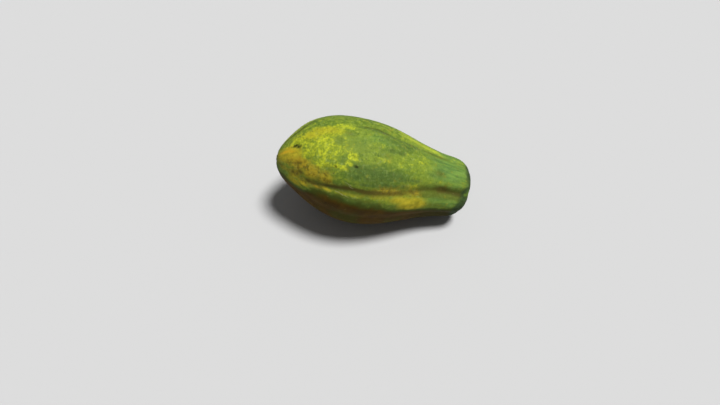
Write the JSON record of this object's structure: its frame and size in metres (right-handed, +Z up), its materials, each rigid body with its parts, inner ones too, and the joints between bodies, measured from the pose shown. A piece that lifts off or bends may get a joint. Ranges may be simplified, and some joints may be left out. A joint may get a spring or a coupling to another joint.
{
  "type": "papaya",
  "caption": "Whole half-ripe papaya lying on its side: a long pear-shaped fruit with a rounded blossom end, a slim neck and a furrowed stem end.",
  "frame": {"origin": "under the middle of the fruit's bounding box, on the surface that it rests on", "axes": "+X along the fruit's length toward the stem end, +Z up, +Y away from the side that the picture shows"},
  "size_m": [0.2488, 0.134, 0.1382],
  "materials": {
    "papaya_skin": "smooth waxy skin, green mottled with yellow and ochre, with a low soft gloss"
  },
  "bodies": {
    "root": {"papaya_fruit": "papaya_skin"}
  },
  "joints": []
}
